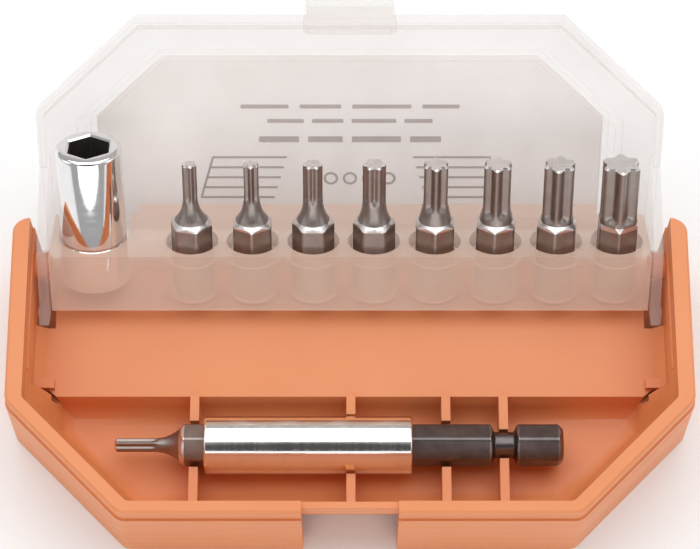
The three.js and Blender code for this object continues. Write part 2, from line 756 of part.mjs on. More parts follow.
function coverGroup() {
  const group = new THREE.Group();
  group.add(named('clear_cover', coverShell(), clear));
  group.add(named('bit_rack', bitRack(), frosted));
  group.add(named('printed_label', labelSheet(), printed));
  group.add(adapterGroup(), ...rackBits());
  group.position.set(0, pivot.y, -pivot.depth);
  group.rotation.x = -openAngle;
  return group;
}

function holderGroup() {
  const group = new THREE.Group();
  const magnetLow = pocketDepth + fit;
  const magnet = rod(holder.magnetRadius, magnetLow, magnetLow + holder.magnetLength);
  const ring = clipRing(hexFlats + 2 * fit).translate([0, 0, clip.depth - clip.wire]);
  group.add(named('holder_sleeve', holderSleeve(), polished));
  group.add(named('holder_shank', holderShank(), blackened));
  group.add(named('holder_magnet', magnet, magnetic));
  group.add(named('holder_clip_ring', ring, spring));
  const bitMesh = named(bitNode(holderBitSize), insertBit(holderBitSize), steel);
  bitMesh.rotation.x = Math.PI;
  bitMesh.position.z = bitLength - holder.bitStickOut;
  group.add(bitMesh);
  group.rotation.y = Math.PI / 2;
  group.position.set(holder.end - holder.length, holderAxis.y, holderAxis.z);
  return group;
}

const bitSet = new THREE.Group();
bitSet.add(named('case_base', caseBase(), orange), coverGroup(), holderGroup());
bitSet.position.set(0, -wellMiddle, base.height);

export default bitSet;
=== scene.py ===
"""Looks for a 1/4 inch bit set in a flip-open case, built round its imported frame.

Lengths are in metres, +Z is up and +Y is to the rear. The orange base, the clear cover and the
rack keep their frame shapes and get moulded edges and finishes. The bits, the square-drive
adapter and the bit holder are built again with finer turned and fluted shapes.
"""

import json
import logging
import math
from collections.abc import Callable
from dataclasses import dataclass, field
from enum import Enum

import bmesh
import bpy
from mathutils import Matrix, Vector


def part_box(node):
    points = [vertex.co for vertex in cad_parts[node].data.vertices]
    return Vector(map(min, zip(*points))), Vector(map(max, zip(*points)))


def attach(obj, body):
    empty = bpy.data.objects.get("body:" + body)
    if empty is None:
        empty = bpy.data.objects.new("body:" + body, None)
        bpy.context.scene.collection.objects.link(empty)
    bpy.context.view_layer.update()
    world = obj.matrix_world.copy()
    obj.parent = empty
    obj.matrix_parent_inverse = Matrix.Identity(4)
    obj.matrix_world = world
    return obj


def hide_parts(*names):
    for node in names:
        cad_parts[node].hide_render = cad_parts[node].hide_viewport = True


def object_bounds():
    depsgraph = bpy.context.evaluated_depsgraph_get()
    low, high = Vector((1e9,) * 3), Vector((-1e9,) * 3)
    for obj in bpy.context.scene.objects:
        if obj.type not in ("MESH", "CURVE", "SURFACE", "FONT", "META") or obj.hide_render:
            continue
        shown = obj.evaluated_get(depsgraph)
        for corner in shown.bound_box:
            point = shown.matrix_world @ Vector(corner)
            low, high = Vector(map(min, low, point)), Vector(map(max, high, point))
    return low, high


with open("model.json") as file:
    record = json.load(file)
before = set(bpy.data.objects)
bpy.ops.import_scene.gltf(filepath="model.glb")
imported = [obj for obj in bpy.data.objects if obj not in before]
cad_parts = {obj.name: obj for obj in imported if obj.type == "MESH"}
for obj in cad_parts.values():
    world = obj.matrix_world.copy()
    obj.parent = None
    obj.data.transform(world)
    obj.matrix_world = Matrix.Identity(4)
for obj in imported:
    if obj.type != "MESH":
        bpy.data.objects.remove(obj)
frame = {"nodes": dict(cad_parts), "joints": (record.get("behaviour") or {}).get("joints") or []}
CAD_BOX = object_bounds()
LOG = logging.getLogger("bit_set")

MM = 0.001
RING_STEPS = 144
FINE_DETAIL = 5.0
FULL_TURN = 2 * math.pi
SIXTH = FULL_TURN / 6

Colour = tuple[float, float, float]
RadiusRule = Callable[[float], float]


class Grain(Enum):
    """The way that the fine marks of a finish run, in a piece's own axes."""

    EVEN = (1.0, 1.0, 1.0)
    ALONG = (1.0, 1.0, 0.04)
    AROUND = (0.03, 0.03, 1.0)


class Slot(Enum):
    """The record's material slots."""

    ORANGE = "orange_plastic"
    CLEAR = "clear_plastic"
    FROSTED = "frosted_plastic"
    PRINT = "printed_film"
    CHROME = "chrome"
    MAGNET = "magnet"
    SPRING = "spring_steel"
    BIT = "bit_steel"
    POLISHED = "polished_steel"
    BLACK = "black_oxide"


# ------------------------------------------------------------------ finishes
class ShaderGraph:
    """A node material being put together."""

    def __init__(self, name: str) -> None:
        """Starts a material that holds only its shader and its output.

        Args:
            name: The material's name.
        """
        self.material = bpy.data.materials.new(name)
        self.material.use_nodes = True
        self.tree = self.material.node_tree
        self.shader = self.tree.nodes["Principled BSDF"]
        place = self.tree.nodes.new("ShaderNodeTexCoord")
        self.place = place.outputs["Object"]

    def node(self, kind: str, **inputs: object) -> bpy.types.Node:
        """Adds a node and fills its inputs.

        Args:
            kind: The node's type.
            inputs: Values or sockets, by input name with underscores for spaces.

        Returns:
            The new node.
        """
        made = self.tree.nodes.new(kind)
        for name, value in inputs.items():
            self.feed(made.inputs[name.replace("_", " ")], value)
        return made

    def feed(self, socket: bpy.types.NodeSocket, value: object) -> None:
        """Links or sets one input.

        Args:
            socket: The input.
            value: A socket to link, or a plain value.
        """
        if isinstance(value, bpy.types.NodeSocket):
            self.tree.links.new(value, socket)
        else:
            socket.default_value = value

    def shade(self, **inputs: object) -> None:
        """Fills inputs of the shader itself.

        Args:
            inputs: Values or sockets, by input name with underscores for spaces.
        """
        for name, value in inputs.items():
            self.feed(self.shader.inputs[name.replace("_", " ")], value)

    def noise(
        self, scale: float, grain: Grain = Grain.EVEN, detail: float = 3.0
    ) -> bpy.types.NodeSocket:
        """Adds noise that runs along a grain.

        Args:
            scale: Marks per metre across the grain.
            grain: The way that the marks run.
            detail: Octaves of finer noise.

        Returns:
            The noise value, from 0 to 1.
        """
        stretched = self.node("ShaderNodeMapping", Vector=self.place, Scale=grain.value)
        made = self.node("ShaderNodeTexNoise", Vector=stretched.outputs[0], Scale=scale, Detail=detail)
        return made.outputs[0]

    def ramp(self, value: bpy.types.NodeSocket, low: float, high: float) -> bpy.types.NodeSocket:
        """Maps the middle of a noise value to a range.

        Args:
            value: A value whose bulk is between 0.3 and 0.7.
            low: The result at 0.3.
            high: The result at 0.7.

        Returns:
            The mapped value, held inside the range.
        """
        made = self.node("ShaderNodeMapRange", Value=value)
        made.inputs["From Min"].default_value = 0.3
        made.inputs["From Max"].default_value = 0.7
        made.inputs["To Min"].default_value = low
        made.inputs["To Max"].default_value = high
        return made.outputs[0]

    def blend(self, share: bpy.types.NodeSocket, first: Colour, second: Colour) -> bpy.types.NodeSocket:
        """Mixes two colours.

        Args:
            share: How much of the second colour, from 0 to 1.
            first: Linear colour at 0.
            second: Linear colour at 1.

        Returns:
            The mixed colour.
        """
        made = self.tree.nodes.new("ShaderNodeMix")
        made.data_type = "RGBA"
        self.tree.links.new(share, made.inputs[0])
        made.inputs[6].default_value = (*first, 1.0)
        made.inputs[7].default_value = (*second, 1.0)
        return made.outputs[2]

    def bump(
        self, height: bpy.types.NodeSocket, depth: float, below: object = None
    ) -> bpy.types.NodeSocket:
        """Raises the surface by a height value.

        Args:
            height: The height, from 0 to 1.
            depth: Height of a full step, in metres.
            below: Another bump's normal to add this one to.

        Returns:
            The bent normal.
        """
        made = self.node("ShaderNodeBump", Height=height, Distance=depth)
        if below is not None:
            self.tree.links.new(below, made.inputs["Normal"])
        return made.outputs[0]


@dataclass(frozen=True)
class MouldedPlastic:
    """Opaque plastic from a fine-textured mould, with handling marks."""

    name: str
    colour: Colour
    pale: Colour
    roughness: float
    grain_per_metre: float = 2600.0
    grain_depth: float = 0.012 * MM
    wave_depth: float = 0.10 * MM
    scuff: float = 0.10
    clouds_per_metre: float = 38.0
    scuffs_per_metre: float = 900.0
    waves_per_metre: float = 55.0
    index: float = 1.49
    depth_share: float = 0.08
    depth_reach: float = 1.2 * MM

    def material(self) -> bpy.types.Material:
        """Builds the finish.

        Returns:
            The node material.
        """
        graph = ShaderGraph(self.name)
        clouds = graph.ramp(graph.noise(self.clouds_per_metre), 0.0, 1.0)
        scuffs = graph.noise(self.scuffs_per_metre, Grain.AROUND, FINE_DETAIL)
        grain = graph.noise(self.grain_per_metre)
        waves = graph.bump(graph.noise(self.waves_per_metre), self.wave_depth)
        graph.shade(
            Base_Color=graph.blend(clouds, self.colour, self.pale),
            Roughness=graph.ramp(scuffs, self.roughness - self.scuff, self.roughness + self.scuff),
            Normal=graph.bump(grain, self.grain_depth, waves),
            IOR=self.index,
            Subsurface_Weight=self.depth_share,
            Subsurface_Scale=self.depth_reach,
        )
        return graph.material


@dataclass(frozen=True)
class SeeThroughPlastic:
    """Clear or frosted plastic that lets part of the light straight through.

    A painted light (emission) lifts its shaded faces; it stands in for light that the plastic scatters inside
    itself.
    """

    name: str
    colour: Colour
    thin: float
    thick: float
    roughness: float
    painted_glow_colour: Colour
    painted_glow: float
    frost_per_metre: float = 1500.0
    frost_depth: float = 0.0025 * MM
    haze: float = 0.95
    spread: float = 0.08
    clouds_per_metre: float = 45.0
    index: float = 1.5

    def material(self) -> bpy.types.Material:
        """Builds the finish.

        Returns:
            The node material.
        """
        graph = ShaderGraph(self.name)
        cloudy = graph.noise(self.clouds_per_metre)
        frost = graph.noise(self.frost_per_metre, Grain.EVEN, 4.0)
        hazed = tuple(part * self.haze for part in self.colour)
        graph.shade(
            Base_Color=graph.blend(graph.ramp(cloudy, 0.0, 1.0), self.colour, hazed),
            Alpha=graph.ramp(cloudy, self.thin, self.thick),
            Roughness=graph.ramp(frost, self.roughness - self.spread, self.roughness + self.spread),
            Normal=graph.bump(frost, self.frost_depth),
            # Painted light: this emission lifts the shaded faces, standing in for light scattered inside the
            # plastic.
            Emission_Color=(*self.painted_glow_colour, 1.0),
            Emission_Strength=self.painted_glow,
            IOR=self.index,
        )
        graph.material.surface_render_method = "BLENDED"
        return graph.material


@dataclass(frozen=True)
class Metal:
    """Metal with fine marks along or around the piece."""

    name: str
    colour: Colour
    stain: Colour
    roughness: float
    spread: float
    grain: Grain
    marks_per_metre: float = 5200.0
    marks_depth: float = 0.004 * MM
    anisotropy: float = 0.0
    stains_per_metre: float = 420.0

    def material(self) -> bpy.types.Material:
        """Builds the finish.

        Returns:
            The node material.
        """
        graph = ShaderGraph(self.name)
        stains = graph.ramp(graph.noise(self.stains_per_metre, Grain.EVEN, FINE_DETAIL), 0.0, 1.0)
        marks = graph.noise(self.marks_per_metre, self.grain, 4.0)
        graph.shade(
            Base_Color=graph.blend(stains, self.colour, self.stain),
            Metallic=1.0,
            Roughness=graph.ramp(marks, self.roughness - self.spread, self.roughness + self.spread),
            Normal=graph.bump(marks, self.marks_depth),
            Anisotropic=self.anisotropy,
        )
        return graph.material


@dataclass(frozen=True)
class PrintedFilm:
    """Printed ink on a smooth film, with a painted light (emission) that can brighten it."""

    name: str
    colour: Colour
    faded: Colour
    roughness: float
    painted_glow: float = 0.0
    patches_per_metre: float = 160.0
    dots_per_metre: float = 3800.0
    dot_depth: float = 0.003 * MM
    spread: float = 0.15

    def material(self) -> bpy.types.Material:
        """Builds the finish.

        Returns:
            The node material.
        """
        graph = ShaderGraph(self.name)
        patches = graph.ramp(graph.noise(self.patches_per_metre, Grain.EVEN, 4.0), 0.0, 1.0)
        dots = graph.noise(self.dots_per_metre)
        graph.shade(
            Base_Color=graph.blend(patches, self.colour, self.faded),
            Roughness=graph.ramp(
                dots, self.roughness * (1 - self.spread), self.roughness * (1 + self.spread)),
            Normal=graph.bump(dots, self.dot_depth),
            # Painted light: this emission brightens the film as if light came through it from behind.
            Emission_Color=(*self.colour, 1.0),
            Emission_Strength=self.painted_glow,
        )
        return graph.material


class Finishes:
    """Every finish of the set, made once."""

    def __init__(self) -> None:
        """Builds the materials."""
        self.orange = MouldedPlastic(
            "orange_moulding", (0.74, 0.250, 0.092), (0.77, 0.275, 0.106), 0.44).material()
        # The eased edges of the case get a lighter orange: a painted highlight along the edges.
        self.orange_edge_highlight = MouldedPlastic(
            "orange_edge_highlight", (0.79, 0.33, 0.14), (0.82, 0.36, 0.155), 0.36).material()
        # The last two values of each see-through finish below are painted light: an emission tint and
        # strength that lift shaded faces. The warm tints stand in for light from the orange case bounced
        # through the plastic.
        warm_glow_tint = (1.0, 0.72, 0.56)
        pale = (1.0, 0.90, 0.86)
        self.clear = SeeThroughPlastic(
            "cover_sheet", (0.68, 0.61, 0.58), 0.19, 0.26, 0.36, pale, 0.11).material()
        # The cover's eased edges get a darker, denser finish: painted shade along the edges of the clear
        # sheet.
        self.clear_edge_shade = SeeThroughPlastic(
            "cover_edge_shade", (0.48, 0.42, 0.39), 0.42, 0.56, 0.32, warm_glow_tint, 0.11).material()
        # The rack's warm frosting colour is partly painted light: besides the frosting's own tone, it stands
        # in for orange case light seen through it.
        self.frosted = SeeThroughPlastic(
            "rack_frosting", (0.88, 0.66, 0.54), 0.38, 0.48, 0.55, warm_glow_tint, 0.05).material()
        # The rack's eased edges get a lighter finish: a painted highlight along its edges.
        self.frosted_edge_highlight = SeeThroughPlastic(
            "rack_edge", (0.94, 0.79, 0.70), 0.52, 0.66, 0.42, warm_glow_tint, 0.05).material()
        # The film's emission strength of 0.24 is painted light that brightens the white label.
        self.film = PrintedFilm(
            "label_film", (0.95, 0.945, 0.94), (0.93, 0.925, 0.92), 0.42, 0.24).material()
        self.ink = PrintedFilm("label_ink", (0.50, 0.45, 0.44), (0.58, 0.53, 0.52), 0.50).material()
        self.chrome = Metal(
            "bright_chrome", (0.86, 0.85, 0.85), (0.80, 0.79, 0.79), 0.07, 0.03,
            Grain.AROUND, 2600.0, 0.0012 * MM).material()
        self.chrome_bore = Metal(
            "dull_bore", (0.46, 0.42, 0.41), (0.36, 0.33, 0.32), 0.34, 0.08, Grain.ALONG).material()
        self.polished = Metal(
            "polished_sleeve", (0.90, 0.88, 0.85), (0.84, 0.82, 0.79), 0.12, 0.05,
            Grain.AROUND, 4200.0, 0.0016 * MM, 0.35).material()
        self.phosphate = Metal(
            "phosphated_steel", (0.34, 0.29, 0.265), (0.27, 0.23, 0.21), 0.40, 0.10,
            Grain.ALONG, 3000.0, 0.008 * MM).material()
        self.ground = Metal(
            "ground_steel", (0.80, 0.765, 0.75), (0.68, 0.645, 0.63), 0.30, 0.08,
            Grain.AROUND, 5200.0, 0.004 * MM).material()
        self.black = Metal(
            "black_oxide_steel", (0.17, 0.15, 0.148), (0.12, 0.105, 0.106), 0.34, 0.08,
            Grain.ALONG, 2600.0, 0.006 * MM).material()
        self.black_edge = Metal(
            "rubbed_oxide", (0.30, 0.27, 0.26), (0.20, 0.18, 0.18), 0.26, 0.08,
            Grain.AROUND, 2600.0, 0.004 * MM).material()
        self.magnet = Metal(
            "nickel_magnet", (0.42, 0.41, 0.42), (0.34, 0.33, 0.34), 0.28, 0.08, Grain.AROUND).material()
        self.spring = Metal(
            "spring_wire", (0.62, 0.61, 0.60), (0.50, 0.49, 0.48), 0.24, 0.07, Grain.AROUND).material()


# ------------------------------------------------------------------ shapes
def hex_rule(flats: float, eased: float = 0.0) -> RadiusRule:
    """Radius of a hexagon with eased corners.

    Args:
        flats: Distance across the flats.
        eased: How far each corner is brought in.

    Returns:
        The radius at an angle.
    """
    apothem = flats / 2
    longest = apothem / math.cos(SIXTH / 2) - eased

    def radius(angle: float) -> float:
        """Radius at an angle; a corner lies at 0."""
        turn = angle % SIXTH - SIXTH / 2
        return min(apothem / math.cos(turn), longest)

    return radius


def square_rule(side: float) -> RadiusRule:
    """Radius of a square whose sides face the axes.

    Args:
        side: Length of a side.

    Returns:
        The radius at an angle.
    """
    quarter = FULL_TURN / 4
    return lambda angle: side / 2 / math.cos((angle + quarter / 2) % quarter - quarter / 2)


def round_rule(radius: float) -> RadiusRule:
    """Radius of a circle."""
    return lambda angle: radius


def star_rule(outer: float, depth: float) -> RadiusRule:
    """Radius of a six-lobe star.

    Args:
        outer: Radius at a lobe.
        depth: Depth of a flute.

    Returns:
        The radius at an angle; a lobe lies at 0.
    """
    return lambda angle: outer - depth / 2 * (1 - math.cos(6 * angle))


def turned_rule(rule: RadiusRule, turn: float) -> RadiusRule:
    """The same outline turned by an angle."""
    return lambda angle: rule(angle - turn)


def least(*rules: RadiusRule) -> RadiusRule:
    """The smallest of several radii."""
    return lambda angle: min(rule(angle) for rule in rules)


@dataclass
class Ring:
    """One closed line of points round a piece's axis."""

    z: float
    rule: RadiusRule
    finish: int = 0


@dataclass
class RingSolid:
    """A closed solid through a run of rings, capped at both ends."""

    name: str
    rings: list[Ring]
    sharp: float = math.radians(24)

    def build(self, materials: list[bpy.types.Material], turn: float = 0.0) -> bpy.types.Object:
        """Makes the mesh object.

        Args:
            materials: Finishes; a ring's finish number picks the one of the band before it.
            turn: Turn about the axis, in radians.

        Returns:
            The new object, along its own Z axis.
        """
        mesh = bmesh.new()
        loops = [self._points(mesh, ring, turn) for ring in self.rings]
        for ring, low, high in zip(self.rings[1:], loops, loops[1:]):
            for i in range(RING_STEPS):
                k = (i + 1) % RING_STEPS
                mesh.faces.new((low[i], low[k], high[k], high[i])).material_index = ring.finish
        mesh.faces.new(list(reversed(loops[0]))).material_index = self.rings[0].finish
        mesh.faces.new(loops[-1]).material_index = self.rings[-1].finish
        return finished_object(self.name, mesh, materials, self.sharp)

    @staticmethod
    def _points(mesh: bmesh.types.BMesh, ring: Ring, turn: float) -> list[bmesh.types.BMVert]:
        """Points of one ring, counter-clockwise."""
        points = []
        for i in range(RING_STEPS):
            angle = i * FULL_TURN / RING_STEPS
            radius = ring.rule(angle)
            points.append(mesh.verts.new((
                radius * math.cos(angle + turn), radius * math.sin(angle + turn), ring.z)))
        return points


def finished_object(
    name: str, mesh: bmesh.types.BMesh, materials: list[bpy.types.Material], sharp: float
) -> bpy.types.Object:
    """Turns mesh code into an object with smooth faces and sharp edges.

    Args:
        name: The object's name.
        mesh: The mesh, which is freed.
        materials: The object's finishes, in slot order.
        sharp: Edges that bend more than this angle stay sharp.

    Returns:
        The new object.
    """
    bmesh.ops.recalc_face_normals(mesh, faces=mesh.faces)
    data = bpy.data.meshes.new(name)
    mesh.to_mesh(data)
    mesh.free()
    for material in materials:
        data.materials.append(material)
    data.shade_smooth()
    data.set_sharp_from_angle(angle=sharp)
    made = bpy.data.objects.new(name, data)
    bpy.context.scene.collection.objects.link(made)
    return made


def smooth_step(share: float) -> float:
    """An S-shaped rise from 0 to 1."""
    held = min(1.0, max(0.0, share))
    return held * held * (3 - 2 * held)


@dataclass
class Axis:
    """Where a round piece starts and the way it points, at rest."""

    start: Vector
    along: Vector
    length: float

    @classmethod
    def of_node(cls, node: str, along: Vector) -> "Axis":
        """Finds the axis of a node from its own end faces.

        Args:
            node: The frame node.
            along: Direction from its first end to its last.

        Returns:
            The node's axis.
        """
        points = [vertex.co for vertex in frame["nodes"][node].data.vertices]
        reach = [point.dot(along) for point in points]
        first = [point for point, r in zip(points, reach) if r < min(reach) + 0.01 * MM]
        low = Vector(min(point[i] for point in first) for i in range(3))
        high = Vector(max(point[i] for point in first) for i in range(3))
        return cls((low + high) / 2, along, max(reach) - min(reach))

    def matrix(self) -> Matrix:
        """Frame whose Z is the axis and whose X is level, or points down where the axis is level sideways.

        Returns:
            The piece's place.
        """
        side = Vector((1, 0, 0)) if abs(self.along.x) < 0.5 else Vector((0, 0, -1))
        third = self.along.cross(side)
        turn = Matrix((side, third, self.along)).transposed().to_4x4()
        return Matrix.Translation(self.start) @ turn


def joint_axis(name: str) -> Vector:
    """Direction of a slide joint at rest.

    Args:
        name: The joint's name.

    Returns:
        The unit direction.
    """
    found = next(joint for joint in frame["joints"] if joint["name"] == name)
    return Vector(found["axis"]).normalized()


def settle(piece: bpy.types.Object, axis: Axis, body: str, slot: Slot, *nodes: str) -> None:
    """Puts a built piece in place of its frame nodes.

    Args:
        piece: The piece, along its own Z.
        axis: Where it goes.
        body: The body that it rides on.
        slot: Its material slot; not used.
        nodes: The frame nodes that it stands for.
    """
    piece.matrix_world = axis.matrix()
    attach(piece, body)
    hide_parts(*nodes)
    LOG.info("%s rides on %s", piece.name, body)


def shading_group(sharp: float) -> bpy.types.NodeTree:
    """A geometry group that smooths faces and keeps bends over an angle sharp.

    Args:
        sharp: The angle, in radians.

    Returns:
        The node group.
    """
    group = bpy.data.node_groups.new("moulded_shading", "GeometryNodeTree")
    group.interface.new_socket("Geometry", in_out="INPUT", socket_type="NodeSocketGeometry")
    group.interface.new_socket("Geometry", in_out="OUTPUT", socket_type="NodeSocketGeometry")
    start = group.nodes.new("NodeGroupInput")
    end = group.nodes.new("NodeGroupOutput")
    clean = group.nodes.new("GeometryNodeRemoveAttribute")
    clean.inputs["Name"].default_value = "custom_normal"
    faces = group.nodes.new("GeometryNodeSetShadeSmooth")
    faces.domain = "FACE"
    edges = group.nodes.new("GeometryNodeSetShadeSmooth")
    edges.domain = "EDGE"
    edges.inputs["Shade Smooth"].default_value = False
    bend = group.nodes.new("GeometryNodeInputMeshEdgeAngle")
    more = group.nodes.new("FunctionNodeCompare")
    more.inputs[1].default_value = sharp
    links = group.links
    links.new(start.outputs[0], clean.inputs["Geometry"])
    links.new(clean.outputs[0], faces.inputs["Geometry"])
    links.new(faces.outputs[0], edges.inputs["Geometry"])
    links.new(bend.outputs["Unsigned Angle"], more.inputs[0])
    links.new(more.outputs[0], edges.inputs["Selection"])
    links.new(edges.outputs[0], end.inputs[0])
    return group


@dataclass
class MouldedNode:
    """A frame node that keeps its shape and gets eased edges and finishes."""

    node: str
    edge: float
    sharp: float = math.radians(28)
    flat: float = math.radians(0.6)
    weld: float = 0.004 * MM

    def dress(self, body: bpy.types.Material, edge: bpy.types.Material, slot: Slot) -> None:
        """Adds the edges and the finishes.

        Args:
            body: Finish of the faces.
            edge: Finish of the eased edges; the case's and the rack's are lighter, a painted highlight, and
                the cover's is darker, painted shade.
            slot: The record's material slot; not used.
        """
        piece = frame["nodes"][self.node]
        piece.data.materials.clear()
        piece.data.materials.append(body)
        piece.data.materials.append(edge)
        weld = piece.modifiers.new("weld", "WELD")
        weld.merge_threshold = self.weld
        flats = piece.modifiers.new("flats", "DECIMATE")
        flats.decimate_type = "DISSOLVE"
        flats.angle_limit = self.flat
        shading = piece.modifiers.new("shading", "NODES")
        shading.node_group = shading_group(self.sharp)
        bevel = piece.modifiers.new("edges", "BEVEL")
        bevel.width = self.edge
        bevel.segments = 2
        bevel.limit_method = "ANGLE"
        bevel.angle_limit = self.sharp
        bevel.harden_normals = True
        # The eased edges take the second finish, which on the case and the rack is a painted highlight and on
        # the cover painted shade.
        bevel.material = 1
        LOG.info("%s keeps its frame shape", piece.name)


# ------------------------------------------------------------------ case
@dataclass
class CaseBase:
    """The orange base: its tray, ribs, pads and pegs are one moulding."""

    edge: float = 0.28 * MM

    def dress(self, finishes: Finishes) -> None:
        """Eases the moulding's edges and gives it its finish; the eased edges get a lighter orange, a painted
        highlight.
        """
        MouldedNode("case_base", self.edge).dress(finishes.orange, finishes.orange_edge_highlight, Slot.ORANGE)


@dataclass
class PrintedLabel:
    """The label on the panel: a white film and generic printed bars on both faces."""

    ink_thickness: float = 0.035 * MM
    stand_off: float = 0.015 * MM
    line: float = 0.42 * MM
    stripe_rows: int = 4
    stripe_rise: float = 2.0 * MM
    wing_reach: tuple[float, float] = (13.0 * MM, 25.8 * MM)
    wing_foot: float = 6.4 * MM
    slant: float = 2.2 * MM
    rings: int = 5
    ring_radius: float = 1.25 * MM
    ring_pitch: float = 3.3 * MM
    text_rows: tuple[tuple[float, float, float], ...] = (
        (17.6 * MM, 15.5 * MM, 1.15 * MM),
        (21.4 * MM, 14.0 * MM, 0.75 * MM),
        (24.2 * MM, 18.5 * MM, 0.75 * MM),
    )

    def dress(self, finishes: Finishes) -> None:
        """Gives the film its finish and prints the bars.

        Args:
            finishes: The set's finishes.
        """
        film = frame["nodes"]["printed_label"]
        film.data.materials.clear()
        film.data.materials.append(finishes.film)
        reach = joint_axis("adapter_pull")
        side = Vector((1, 0, 0))
        inward = side.cross(reach)
        points = [vertex.co for vertex in film.data.vertices]
        foot = min(point.dot(reach) for point in points)
        inner = max(point.dot(inward) for point in points)
        outer = min(point.dot(inward) for point in points)
        faces = (("inner", inner + self.stand_off), ("outer", outer - self.stand_off - self.ink_thickness))
        for name, level in faces:
            piece = self._print(f"label_print_{name}", finishes.ink)
            turn = Matrix((side, reach, inward)).transposed().to_4x4()
            piece.matrix_world = Matrix.Translation(reach * foot + inward * level) @ turn
            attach(piece, "cover")
            LOG.info("%s rides on cover", piece.name)

    def _print(self, name: str, ink: bpy.types.Material) -> bpy.types.Object:
        """Builds all the bars of one face.

        Args:
            name: The piece's name.
            ink: The ink's finish.

        Returns:
            The printed piece, flat in its own XY plane.
        """
        mesh = bmesh.new()
        for hand in (-1, 1):
            self._wing(mesh, hand)
        for i in range(self.rings):
            centre = (i - (self.rings - 1) / 2) * self.ring_pitch
            self._ring(mesh, centre, self.wing_foot + 2 * self.stripe_rise, self.ring_radius)
        for height, half, thick in self.text_rows:
            self._words(mesh, height, half, thick)
        return finished_object(name, mesh, [ink], math.radians(30))

    def _bar(self, mesh: bmesh.types.BMesh, corners: list[tuple[float, float]]) -> None:
        """Raises one flat bar.

        Args:
            mesh: The mesh to add to.
            corners: Its outline, counter-clockwise.
        """
        low = [mesh.verts.new((x, y, 0.0)) for x, y in corners]
        high = [mesh.verts.new((x, y, self.ink_thickness)) for x, y in corners]
        mesh.faces.new(list(reversed(low)))
        mesh.faces.new(high)
        for i in range(len(corners)):
            k = (i + 1) % len(corners)
            mesh.faces.new((low[i], low[k], high[k], high[i]))

    def _wing(self, mesh: bmesh.types.BMesh, hand: int) -> None:
        """Adds the slanted stripes of one side.

        Args:
            mesh: The mesh to add to.
            hand: -1 on the left and 1 on the right.
        """
        near, far = self.wing_reach
        for row in range(self.stripe_rows + 1):
            y = self.wing_foot + row * self.stripe_rise
            lean = row * self.slant / self.stripe_rows
            ends = sorted((hand * (near - lean), hand * (far - lean)))
            self._bar(mesh, [(ends[0], y), (ends[1], y),
                             (ends[1], y + self.line), (ends[0], y + self.line)])
        top = self.wing_foot + self.stripe_rows * self.stripe_rise
        foot, head = hand * far, hand * (far - self.slant)
        post = [(foot, self.wing_foot), (foot + self.line, self.wing_foot),
                (head + self.line, top), (head, top)]
        self._bar(mesh, [(x, y + self.line) for x, y in post])

    def _ring(self, mesh: bmesh.types.BMesh, x: float, y: float, radius: float) -> None:
        """Adds one printed ring, as a closed band of quads.

        Args:
            mesh: The mesh to add to.
            x: Middle of the ring.
            y: Middle of the ring.
            radius: Its outer radius.
        """
        steps = 32
        loops = []
        for r, z in ((radius, 0.0), (radius, self.ink_thickness), (radius - self.line, self.ink_thickness),
                     (radius - self.line, 0.0)):
            loops.append([mesh.verts.new((
                x + r * math.cos(i * FULL_TURN / steps), y + r * math.sin(i * FULL_TURN / steps), z))
                for i in range(steps)])
        for low, high in zip(loops, loops[1:] + loops[:1]):
            for i in range(steps):
                k = (i + 1) % steps
                mesh.faces.new((low[i], low[k], high[k], high[i]))

    def _words(self, mesh: bmesh.types.BMesh, y: float, half: float, thick: float) -> None:
        """Adds a row of plain dashes.

        Args:
            mesh: The mesh to add to.
            y: Foot of the row.
            half: Half the row's length.
            thick: Height of the dashes.
        """
        shares = (0.0, 0.22, 0.27, 0.46, 0.51, 0.78, 0.83, 1.0)
        for start, end in zip(shares[::2], shares[1::2]):
            x0, x1 = (half * (2 * share - 1) for share in (start, end))
            self._bar(mesh, [(x0, y), (x1, y), (x1, y + thick), (x0, y + thick)])


@dataclass
class Cover:
    """The clear cover with its frosted rack and its label."""

    sheet_edge: float = 0.30 * MM
    rack_edge: float = 0.26 * MM
    label: PrintedLabel = field(default_factory=PrintedLabel)

    def dress(self, finishes: Finishes) -> None:
        """Eases the edges and gives each moulding its finish; the cover's eased edges carry painted shade and
        the rack's a painted highlight.

        Args:
            finishes: The set's finishes.
        """
        MouldedNode("clear_cover", self.sheet_edge).dress(finishes.clear, finishes.clear_edge_shade, Slot.CLEAR)
        MouldedNode("bit_rack", self.rack_edge).dress(finishes.frosted, finishes.frosted_edge_highlight, Slot.FROSTED)
        self.label.dress(finishes)


